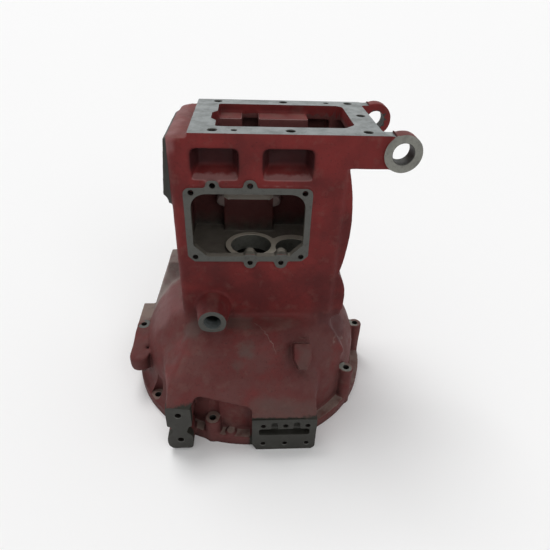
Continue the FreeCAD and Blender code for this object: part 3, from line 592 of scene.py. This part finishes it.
def spot_faces(holes):
    """Flat round seats of the flange bolts, SEAT_DEPTH deep."""
    above = 40 * MM
    return [lathe([(hole.start - above, sizes().spot), (hole.start + SEAT_DEPTH, sizes().spot)],
                  hole.centre, hole.axis, 64) for hole in holes if seated(hole)]


def drills(holes):
    """Drills and boring bars: a straight wall, and a bevel where a hole leaves the casting."""
    bevel = sizes().chamfer
    past = 4 * MM
    forms = []
    for hole in holes:
        mouth = [(hole.end - bevel, hole.radius), (hole.end, hole.radius + bevel),
                 (hole.end + past, hole.radius + bevel)]
        far = [(hole.start, hole.radius)]
        if hole.through:
            far = [(hole.start - past, hole.radius + bevel), (hole.start, hole.radius + bevel),
                   (hole.start + bevel, hole.radius)]
        sides = 72 if hole.radius > 12 * MM else 40
        forms.append(lathe(far + mouth, hole.centre, hole.axis, sides))
    return forms


def centres_and_normals(mesh):
    """Each face's centre and normal, as rows."""
    count = len(mesh.polygons)
    centre = np.empty(count * 3, np.float32)
    normal = np.empty(count * 3, np.float32)
    mesh.polygons.foreach_get("center", centre)
    mesh.polygons.foreach_get("normal", normal)
    return centre.reshape(-1, 3).astype(float), normal.reshape(-1, 3).astype(float)


def in_box(points, low, high):
    """True for points between two corners."""
    return ((points > low) & (points < high)).all(axis=1)


def inside_of_casting(points, normals):
    """True inside the case, its collar and the bell, where nothing is painted. The boxes lie between
    the inner and the outer faces of the walls, in millimetres. The right wall swells out and in, so
    near it only faces that look left count, and the bearing wall's floor."""
    place = points / MM
    x, _, z = place.T
    looks_left, looks_up = normals[:, 0] < -0.3, normals[:, 2] > 0.9
    bearing_floor = (x < 141) & looks_up & (z > 263) & (z < 275)
    case = in_box(place, (-110, -87, 171), (150, 89, 484)) & ((x < 128) | looks_left | bearing_floor)
    collar = in_box(place, (120, -62, 458), (165, 67, 484))
    sill = in_box(place, (-92, -98.9, 304), (82, -85, 412))
    bell_wall = np.interp(z, [0, 64, 171], [192, 192, 139])
    bell = (z > 0.1) & (z < 171) & (np.linalg.norm(place[:, :2], axis=1) < bell_wall)
    pocket = np.zeros(len(place), bool)
    for name in FRONT_POCKETS + BACK_POCKETS:
        low, high = np.array(OPENINGS[name]) / MM
        pocket |= in_box(place, low - (5, 5, 4), high + (5, 5, 4))
    return (case | collar | bell | sill) & ~pocket


def finish_index(mesh, holes):
    """Which finish each face has: painted, bare casting, or one of the machined ones. Flat faces at
    a hole's mouth keep their own, its bevels are oily, and its wall and floor have the bore's."""
    points, normals = centres_and_normals(mesh)
    index = np.where(inside_of_casting(points, normals), INNER, PAINTED)
    for axis, level, side, low, high, finish in machined_faces():
        flat = on_face(points, axis, level, low, high) & (normals[:, axis] * side > 0.95)
        index[flat] = finish
    bevel = sizes().chamfer
    past = 4 * MM
    wall_finish = {"release_shaft_bore": BRIGHT, "main_bearing_bore": WORN, "counter_bearing_bore": WORN}
    for hole in holes:
        along, out = hole.measure(points)
        facing = np.abs(normals @ hole.axis)
        square = facing > 0.9
        round_mouth = square & (along > hole.end - bevel)
        if hole.through:
            round_mouth |= square & (along < hole.start + bevel)
        inner = (along > hole.start - past) & (along < hole.end + bevel) & (out < hole.radius + bevel)
        index[inner & ~round_mouth] = wall_finish.get(hole.mount, BLACK)
        index[inner & (facing > 0.5) & ~square] = OILED
        if seated(hole):
            seat = square & (np.abs(along - hole.start - SEAT_DEPTH) < TOUCH) & (out < sizes().spot)
            index[seat] = seat_finish(hole)
    side_pad = in_box(points, (-0.24, -0.0835, 0.3865), (-0.1195, 0.0615, 0.4885))
    pad_slot = in_box(points, (0.011, -0.2349, 0.038), (0.097, -0.22, 0.070))
    index[side_pad | pad_slot] = BLACK
    return index


def seat_finish(hole):
    """Seats on the right are worn by a washer, those at the front are painted over, and the others
    are oily."""
    x, y, _ = hole.centre
    if x > 100 * MM:
        return WORN
    return PAINTED if y < -120 * MM else OILED


class HOUSING_OT_casting(bpy.types.Operator):
    """Makes the dressed casting from the modelled body"""
    bl_idname = "housing.casting"
    bl_label = "Dress the Casting"

    def execute(self, context):
        source = frame["nodes"][NODE].data
        holes = all_holes(source)
        piece = rough_casting(source, holes)
        piece.name = PIECE
        face_off(piece)
        carve(piece, spot_faces(holes))
        carve(piece, drills(holes) + [foot_notch()])
        mesh = piece.data
        mesh.name = PIECE
        mesh.materials.clear()
        hues = colours()
        # The machined finishes in their order: name, colour, roughness and share of oily dirt and painted
        # shade in the corners.
        irons = (("Milled grey iron", hues.bright, 0.34, 0.2), ("Dusty faced iron", hues.worn, 0.5, 0.2),
                 ("Oiled faced iron", hues.oiled, 0.45, 0.4),
                 ("Blackened faced iron", hues.black, 0.5, 0.8))
        for material in [enamel(), cast_skin()] + [faced_iron(*iron) for iron in irons]:
            mesh.materials.append(material)
        mesh.polygons.foreach_set("material_index", finish_index(mesh, holes).astype(np.int32))
        mesh.polygons.foreach_set("use_smooth", np.ones(len(mesh.polygons), bool))
        mesh.set_sharp_from_angle(angle=SHARP)
        mesh.update()
        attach(piece, BODY)
        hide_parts(NODE)
        return {"FINISHED"}


def node(tree, kind, inputs=None, output=0, **settings):
    """Adds a shader node and gives back one of its outputs. inputs maps a socket's name or number
    to a value, an sRGB hex colour or another node's output."""
    made = tree.nodes.new("ShaderNode" + kind)
    for name, value in settings.items():
        setattr(made, name, value)
    for key, value in (inputs or {}).items():
        socket = made.inputs[key]
        if isinstance(value, bpy.types.NodeSocket):
            tree.links.new(value, socket)
        else:
            socket.default_value = linear(value) if isinstance(value, str) else value
    return made.outputs[output] if made.outputs else None


def new_material(name):
    """A new material, its node tree, its shader, and the place on the object, in metres."""
    material = bpy.data.materials.new(name)
    material.use_nodes = True
    tree = material.node_tree
    tree.nodes.clear()
    surface = node(tree, "BsdfPrincipled")
    node(tree, "OutputMaterial", {"Surface": surface})
    place = node(tree, "TexCoord", output="Object")
    return material, tree, surface.node, place


def coated(tree, colour, *coats):
    """Lays coats over a colour, one after another. Each coat is its colour and the shares whose
    product says how much of it there is."""
    for coat, amount, *shares in coats:
        for share in shares:
            amount = node(tree, "Math", {0: amount, 1: share}, operation="MULTIPLY")
        colour = node(tree, "Mix", {0: amount, 6: colour, 7: coat}, 2, data_type="RGBA")
    return colour


def patches(tree, place, grain, low, high, least=0.0, most=1.0):
    """Patches about grain metres wide: noise, least where it is under low and most where over high."""
    lumps = node(tree, "TexNoise", {"Vector": place, "Scale": 1 / grain, "Detail": 4.0, "Roughness": 0.6})
    return node(tree, "MapRange", {0: lumps, 1: low, 2: high, 3: least, 4: most},
                interpolation_type="SMOOTHSTEP")


def step_along(tree, place, axis, low, high, at_low=0.0, at_high=1.0):
    """A smooth step along one axis, from at_low where the coordinate is low to at_high where high."""
    along = node(tree, "SeparateXYZ", {0: place}, axis)
    return node(tree, "MapRange", {0: along, 1: low, 2: high, 3: at_low, 4: at_high},
                interpolation_type="SMOOTHSTEP")


def ragged(tree, place, grain, reach):
    """The place moved to and fro by noise up to reach, which frays the borders of what reads it."""
    lumps = node(tree, "TexNoise", {"Vector": place, "Scale": 1 / grain, "Detail": 3.0}, "Color")
    middle = node(tree, "VectorMath", {0: lumps, 1: (0.5, 0.5, 0.5)}, operation="SUBTRACT")
    # The noise seldom leaves its middle half, so it is stretched four times.
    stretch = (4 * reach,) * 3
    moved = node(tree, "VectorMath", {0: middle, 1: stretch}, operation="MULTIPLY")
    return node(tree, "VectorMath", {0: place, 1: moved}, operation="ADD")


def near_box(tree, place, low, high, reach):
    """1 inside a box, falling to 0 at reach outside it. The distance is the length of
    max(|point - middle| - half, 0)."""
    middle = (np.array(high) + low) / 2
    half = (np.array(high) - low) / 2
    away = node(tree, "VectorMath", {0: place, 1: middle}, operation="SUBTRACT")
    away = node(tree, "VectorMath", {0: away}, operation="ABSOLUTE")
    away = node(tree, "VectorMath", {0: away, 1: half}, operation="SUBTRACT")
    past = node(tree, "VectorMath", {0: away, 1: (0, 0, 0)}, operation="MAXIMUM")
    distance = node(tree, "VectorMath", {0: past}, "Value", operation="LENGTH")
    return node(tree, "MapRange", {0: distance, 1: reach, 2: 0.0}, interpolation_type="SMOOTHSTEP")


def marks(tree, place, tone, boxes, *shares):
    """Coats of one tone on boxes of (amount, low corner, high corner, reach), times the shares."""
    return [(tone, amount, near_box(tree, place, low, high, reach), *shares)
            for amount, low, high, reach in boxes]


def scratch(tree, place, start, end, width):
    """1 on a thin upright sheet from start to end, so a scratch where it meets the surface. The
    distance from the sheet is |(point - start) . across|, with across level and square to the run."""
    start, end = np.array(start), np.array(end)
    across = np.array([start[1] - end[1], end[0] - start[0], 0.0])
    across = across / np.linalg.norm(across)
    offset = node(tree, "VectorMath", {0: place, 1: start}, operation="SUBTRACT")
    away = node(tree, "VectorMath", {0: offset, 1: across}, "Value", operation="DOT_PRODUCT")
    away = node(tree, "Math", {0: away}, operation="ABSOLUTE")
    line = node(tree, "MapRange", {0: away, 1: width, 2: 0.3 * width}, interpolation_type="SMOOTHSTEP")
    held = near_box(tree, place, np.minimum(start, end), np.maximum(start, end), 4 * MM)
    return node(tree, "Math", {0: line, 1: held}, operation="MULTIPLY")


def hollows(tree, distance, open_share, deep_share, inside=False):
    """0 on open faces, 1 deep in corners; with inside, 1 along outer edges. The shares say how much
    of the view within distance is closed off where it starts and where it is full."""
    seen = node(tree, "AmbientOcclusion", {"Distance": distance}, "AO", inside=inside, samples=6)
    return node(tree, "MapRange", {0: seen, 1: 1 - open_share, 2: 1 - deep_share},
                interpolation_type="SMOOTHSTEP")


def upward(tree, low, high):
    """0 on walls, 1 on faces that look up, by the height of their unit normal."""
    facing = node(tree, "NewGeometry", output="Normal")
    return step_along(tree, facing, "Z", low, high)


def enamel():
    """Brushed maroon enamel over a sand-cast skin: dull, chipped at the edges, with dust on what looks up,
    oily dirt and painted shade in the hollows and a browner, soiled tone low on the bell. Painted shade also
    darkens the front nut pockets and the right flank of the dome, and painted light brightens the left
    shoulder of the bell, the lips of the front pockets and the upper left corner of the case. Round the foot
    and the pad the paint is gone and the iron is dark."""
    material, tree, shader, place = new_material("Worn maroon enamel")
    hues = colours()
    # Widths of the patterns: fields of fresh and of darker paint, clouds of soil, stains, and specks
    # of dirt. Moulding sand leaves pits of about 0.4 mm, too fine to show, so they are drawn 1.3 and
    # 3.6 mm wide.
    field, cloud, stain, speck, pit = 90 * MM, 34 * MM, 24 * MM, 3.6 * MM, 1.3 * MM
    smeared, chalky_and_lit, ashy, rubbed_and_lit, shaded = "#4e4843", "#8d6a6a", "#88847e", "#8d7f78", "#200e10"
    pale, lit_enamel, dark, chipped = "#9a7876", "#8f6868", "#3f1d1e", "#8a807a"
    frayed = ragged(tree, place, 9 * MM, 3 * MM)
    wild = ragged(tree, place, 30 * MM, 8 * MM)
    # Marks are boxes of (amount, low corner, high corner, reach), in metres.
    # The pale chalky patch on the left shoulder of the bell is partly dust and partly painted light from the
    # left.
    shoulder_left_dust_and_light = [(0.3, (-0.168, -0.060, 0.120), (-0.130, 0.060, 0.180), 25 * MM)]
    ledge_back = [(0.65, (-0.240, 0.030, 0.080), (-0.150, 0.090, 0.205), 24 * MM)]
    smears = [
        (0.45, (-0.013, -0.160, 0.156), (-0.001, -0.154, 0.162), 13 * MM),
        (0.35, (-0.026, -0.175, 0.140), (-0.020, -0.171, 0.144), 12 * MM),
        (0.45, (-0.038, -0.122, 0.168), (-0.006, -0.108, 0.190), 14 * MM),
        (0.45, (-0.108, -0.124, 0.160), (-0.094, -0.108, 0.190), 13 * MM),
        (0.35, (0.010, -0.240, 0.078), (0.100, -0.222, 0.096), 22 * MM),
        (0.4, (0.080, -0.190, 0.140), (0.088, -0.170, 0.170), 14 * MM)]
    scratches = [(0.22, (0.008, -0.116, 0.185), (0.040, -0.160, 0.150), 0.9 * MM),
                 (0.3, (0.148, -0.112, 0.150), (0.168, -0.085, 0.100), 1.2 * MM)]
    # Painted shade inside the front nut pockets, darkest under their roofs.
    pocket_insides_shade = [(0.85, (-0.090, -0.092, 0.426), (0.094, -0.055, 0.484), 4 * MM)]
    # The pale lips of the front pocket floors are partly dust and partly painted light on faces that look up.
    pocket_lips_dust_and_light = [(0.45, (-0.083, -0.099, 0.428), (-0.022, -0.086, 0.434), 7 * MM),
                   (0.45, (0.019, -0.099, 0.428), (0.085, -0.086, 0.434), 7 * MM)]
    # Painted highlight on the upper left corner of the case, where light from the left falls.
    case_corner_highlight = [(0.4, (-0.140, -0.100, 0.480), (-0.112, 0.100, 0.510), 14 * MM)]
    # Painted shade on the right flank of the dome.
    right_flank_shade = [(0.6, (0.120, -0.100, 0.130), (0.190, -0.050, 0.180), 12 * MM)]
    foot_and_pad = [(1.0, (-0.145, -0.240, -0.010), (-0.094, -0.222, 0.106), 5 * MM),
                    (1.0, (-0.002, -0.240, -0.010), (0.112, -0.224, 0.077), 5 * MM)]
    # The paint is lighter high on the case and darker towards the bottom. The bell is soiled low down, and
    # more dust lies there.
    tone = node(tree, "Math", {0: patches(tree, place, field, 0.0, 1.0),
                               1: step_along(tree, place, "Z", 0.2, 0.46, -0.10, 0.10)}, operation="ADD")
    enamel_share = node(tree, "MapRange", {0: tone, 1: 0.15, 2: 0.85}, interpolation_type="SMOOTHSTEP")
    soiled = step_along(tree, place, "Z", 0.215, 0.15)
    settled = step_along(tree, place, "Z", 0.10, 0.172, 1.0, 0.2)
    ledge_end = near_box(tree, frayed, (-0.24, -0.10, 0.03), (-0.19, 0.0, 0.10), 10 * MM)
    off_ledge_end = node(tree, "Math", {0: 1.0, 1: ledge_end}, operation="SUBTRACT")
    colour = coated(
        tree, hues.enamel_deep,
        (hues.enamel, enamel_share),
        (hues.enamel_low, soiled, patches(tree, place, cloud, 0.3, 0.65, 0.4)),
        *marks(tree, wild, chalky_and_lit, shoulder_left_dust_and_light),
        *marks(tree, wild, ashy, ledge_back, patches(tree, place, stain, 0.3, 0.6, 0.5)),
        (hues.dust, 0.12, patches(tree, place, stain, 0.52, 0.72)),
        (hues.grime_and_shade, 0.35, patches(tree, place, speck, 0.56, 0.74)),
        *marks(tree, wild, smeared, smears),
        *[(rubbed_and_lit, amount, scratch(tree, frayed, *run)) for amount, *run in scratches],
        *marks(tree, place, shaded, pocket_insides_shade, step_along(tree, place, "Z", 0.434, 0.452)),
        *marks(tree, frayed, pale, pocket_lips_dust_and_light, upward(tree, 0.1, 0.6)),
        *marks(tree, wild, lit_enamel, case_corner_highlight),
        *marks(tree, wild, dark, right_flank_shade),
        # Oily dirt and painted shade in the hollows, by how much of the view is closed off.
        (hues.grime_and_shade, 0.7, hollows(tree, 22 * MM, 0.15, 0.8)),
        (hues.dust, upward(tree, 0.86, 0.985), patches(tree, place, stain, 0.3, 0.65, 0.25, 0.9),
         settled, off_ledge_end),
        (chipped, 0.5, hollows(tree, 3 * MM, 0.45, 0.8, inside=True), patches(tree, place, speck, 0.45, 0.6)),
        *marks(tree, frayed, hues.black, foot_and_pad))
    tree.links.new(colour, shader.inputs["Base Color"])
    tree.links.new(patches(tree, place, stain, 0.3, 0.7, 0.52, 0.74), shader.inputs["Roughness"])
    shader.inputs["Specular IOR Level"].default_value = 0.15
    relief = node(tree, "Math", {0: patches(tree, place, pit, 0.0, 1.0, 0.0, 0.35),
                                 1: patches(tree, place, speck, 0.0, 1.0, 0.0, 0.65)}, operation="ADD")
    bump = node(tree, "Bump", {"Height": relief, "Strength": 0.5, "Distance": 0.5 * MM})
    tree.links.new(bump, shader.inputs["Normal"])
    return material


def cast_skin():
    """Unpainted sand-cast iron inside: primed dark red above, a coarse grey-brown skin below, light with dust
    where it looks up and black with old oil and painted shade where it is deep. A painted highlight lies on
    the back step and on its end bosses."""
    material, tree, shader, place = new_material("Sand-cast iron with primer")
    hues = colours()
    # The pits of this skin are about 0.4 mm wide too, and are drawn 2.6 mm wide to show.
    stain, pit = 22 * MM, 2.6 * MM
    dark, primer, dusty = "#332e29", "#5a2a29", "#8a847a"
    rubbed_and_lit, pale, dusty_primer = "#b3ada2", "#8f817c", "#a3827f"
    wild = ragged(tree, place, 22 * MM, 8 * MM)
    primed = step_along(tree, wild, "Z", 0.262, 0.30)
    off_sill = step_along(tree, place, "Y", -0.086, -0.080)
    # Painted highlight: the top of the back step is painted near white where light through the window falls
    # on it.
    step_top_highlight = [(0.95, (-0.052, 0.060, 0.328), (0.044, 0.092, 0.346), 1 * MM)]
    # Painted highlight on the round bosses at the ends of the back step.
    step_ends_highlight = [(0.8, (-0.066, 0.050, 0.316), (-0.050, 0.075, 0.342), 2 * MM),
                 (0.8, (0.042, 0.050, 0.316), (0.058, 0.075, 0.342), 2 * MM)]
    colour = coated(
        tree, hues.iron,
        (dark, patches(tree, place, stain, 0.35, 0.7)),
        (primer, 0.85, primed, off_sill),
        (hues.grime_and_shade, 0.4, patches(tree, place, pit, 0.5, 0.75)),
        # Oily dirt and painted shade deep in the casting.
        (hues.grime_and_shade, 0.6, hollows(tree, 30 * MM, 0.2, 0.95)),
        (dusty, 0.5, upward(tree, 0.6, 0.95), patches(tree, place, stain, 0.3, 0.7, 0.5)),
        *marks(tree, place, rubbed_and_lit, step_top_highlight, upward(tree, 0.3, 0.6)),
        *marks(tree, place, pale, step_ends_highlight),
        (dusty_primer, 0.8, upward(tree, 0.3, 0.8), step_along(tree, place, "Z", 0.40, 0.42)))
    tree.links.new(colour, shader.inputs["Base Color"])
    shader.inputs["Roughness"].default_value = 0.7
    shader.inputs["Specular IOR Level"].default_value = 0.3
    relief = patches(tree, place, pit, 0.0, 1.0)
    bump = node(tree, "Bump", {"Height": relief, "Strength": 0.6, "Distance": 0.6 * MM})
    tree.links.new(bump, shader.inputs["Normal"])
    return material


def faced_iron(name, tone, roughness, dirt):
    """Milled grey iron: a dull metal sheen with fine cutter marks, stained by old gasket and oil, and dark
    with oily dirt and painted shade in its slots. The bearing rims are paler, and painted shade makes the
    release bore black farther in."""
    material, tree, shader, place = new_material(name)
    hues = colours()
    stain, blot, speck = 26 * MM, 9 * MM, 2.8 * MM
    boss = end_of("release_shaft_bore")
    rims = [(0.85, (-0.06, -0.06, 0.2695), (0.13, 0.06, 0.272), 0.4 * MM)]
    # Painted shade: the release bore is painted near black farther in.
    deep_bore_shade = [(0.97, boss + (-0.02, 0.026, -0.02), boss + (0.02, 0.25, 0.02), 10 * MM)]
    colour = coated(
        tree, tone,
        (hues.oiled, 0.4, patches(tree, place, stain, 0.42, 0.72)),
        (hues.grime_and_shade, 0.35, patches(tree, place, speck, 0.56, 0.75)),
        (hues.grime_and_shade, 0.3, patches(tree, place, blot, 0.5, 0.7)),
        # Oily dirt and painted shade in the corners, as much as the finish's share says.
        (hues.grime_and_shade, dirt, hollows(tree, 12 * MM, 0.25, 0.7)),
        *marks(tree, place, "#c0b9aa", rims),
        *marks(tree, place, "#12100e", deep_bore_shade))
    tree.links.new(colour, shader.inputs["Base Color"])
    shader.inputs["Metallic"].default_value = 0.3
    gloss = patches(tree, place, stain, 0.3, 0.7, roughness, roughness + 0.2)
    tree.links.new(gloss, shader.inputs["Roughness"])
    # Cutter marks lie about 1 mm apart, too fine to show, so they are drawn 3.7 mm apart on a level
    # face. Slanting bands have a scale of tau / (10 * sqrt(2) * 3.7 mm), which is 120.
    cuts = node(tree, "TexWave", {"Vector": place, "Scale": 120.0, "Distortion": 1.5}, "Fac",
                bands_direction="DIAGONAL")
    bump = node(tree, "Bump", {"Height": cuts, "Strength": 0.12, "Distance": 0.1 * MM})
    tree.links.new(bump, shader.inputs["Normal"])
    return material


def floor_material():
    """Matt pale floor."""
    material, _, shader, _ = new_material("Pale studio floor")
    shader.inputs["Base Color"].default_value = linear(colours().floor)
    shader.inputs["Roughness"].default_value = 0.9
    return material


def put_up(name, data, right, up, back, place=(0, 0, 0)):
    """An object in the scene that stands at a place, with its own axes along right, up and back."""
    made = bpy.data.objects.new(name, data)
    bpy.context.scene.collection.objects.link(made)
    rows = [[right[i], up[i], back[i], place[i]] for i in range(3)]
    made.matrix_world = Matrix(rows + [[0, 0, 0, 1]])
    return made


def add_sun(name, direction, strength, spread):
    """A sun lamp that shines along a direction, with its strength in watts per square metre and the
    degrees of sky that it fills, which soften its shadow."""
    light = bpy.data.lights.new(name, "SUN")
    light.energy = strength
    light.angle = math.radians(spread)
    back, right, up = basis(-np.asarray(direction, float))
    put_up(name, light, right, up, back)


def add_camera():
    """The camera as the photograph has it: place, viewing direction and angle of view."""
    data = bpy.data.cameras.new("Camera")
    data.sensor_width = 36
    data.lens = 29.65
    right = (0.9982, -0.0511, 0.0321)
    up = (0.0020, 0.5603, 0.8284)
    back = (-0.0603, -0.8267, 0.5592)
    place = (-0.0064, -0.7118, 0.6840)
    bpy.context.scene.camera = put_up("Camera", data, right, up, back, place)


class HOUSING_OT_stage(bpy.types.Operator):
    """Makes the floor, the lamps, the world and the camera"""
    bl_idname = "housing.stage"
    bl_label = "Set Up the Studio"

    def execute(self, context):
        scene = context.scene
        # The floor reaches so far that its edge lies at the horizon.
        half = 30.0
        outline = [(-half, -half, 0), (half, -half, 0), (half, half, 0), (-half, half, 0)]
        floor = new_piece("floor", outline, [[0, 1, 2, 3]])
        floor.data.materials.append(floor_material())
        world = bpy.data.worlds.new("Studio")
        scene.world = world
        world.use_nodes = True
        tree = world.node_tree
        tree.nodes.clear()
        # The camera and the reflections see a white backdrop, which gives less light than that.
        white, light = 1.0, 0.55
        path = node(tree, "LightPath").node.outputs
        seen = node(tree, "Math", {0: path["Is Camera Ray"], 1: path["Is Glossy Ray"]}, operation="MAXIMUM")
        seen = node(tree, "Math", {0: seen, 1: path["Is Transmission Ray"]}, operation="MAXIMUM")
        strength = node(tree, "MapRange", {0: seen, 3: light, 4: white})
        sky = node(tree, "Background", {"Color": "#ffffff", "Strength": strength})
        node(tree, "OutputWorld", {"Surface": sky})
        add_sun("key", (0.25, -0.35, -0.9), strength=1.35, spread=30)
        add_sun("front", (-0.35, 0.75, -0.55), strength=0.55, spread=40)
        add_camera()
        scene.view_settings.view_transform = "Standard"
        return {"FINISHED"}


class HOUSING_PT_panel(bpy.types.Panel):
    """Lists the sizes, the colours and the operators of the housing"""
    bl_idname = "HOUSING_PT_panel"
    bl_label = "Gearbox Housing"
    bl_space_type = "VIEW_3D"
    bl_region_type = "UI"
    bl_category = "Housing"

    def draw(self, context):
        """Draws one line for each size, colour and operator."""
        for group in (context.scene.housing_sizes, context.scene.housing_colours):
            for name in group.__annotations__:
                self.layout.prop(group, name)
        for operator in OPERATORS:
            self.layout.operator(operator.bl_idname)


OPERATORS = (HOUSING_OT_casting, HOUSING_OT_stage)
CLASSES = (HousingSizes, HousingColours) + OPERATORS + (HOUSING_PT_panel,)


def register():
    """Registers the classes and puts the sizes and the colours on the scene."""
    for item in CLASSES:
        bpy.utils.register_class(item)
    bpy.types.Scene.housing_sizes = bpy.props.PointerProperty(type=HousingSizes)
    bpy.types.Scene.housing_colours = bpy.props.PointerProperty(type=HousingColours)


def unregister():
    """Takes back what register did."""
    del bpy.types.Scene.housing_colours
    del bpy.types.Scene.housing_sizes
    for item in reversed(CLASSES):
        bpy.utils.unregister_class(item)


def main():
    """Makes the scene."""
    register()
    bpy.ops.housing.casting()
    bpy.ops.housing.stage()


if __name__ == "__main__":
    main()
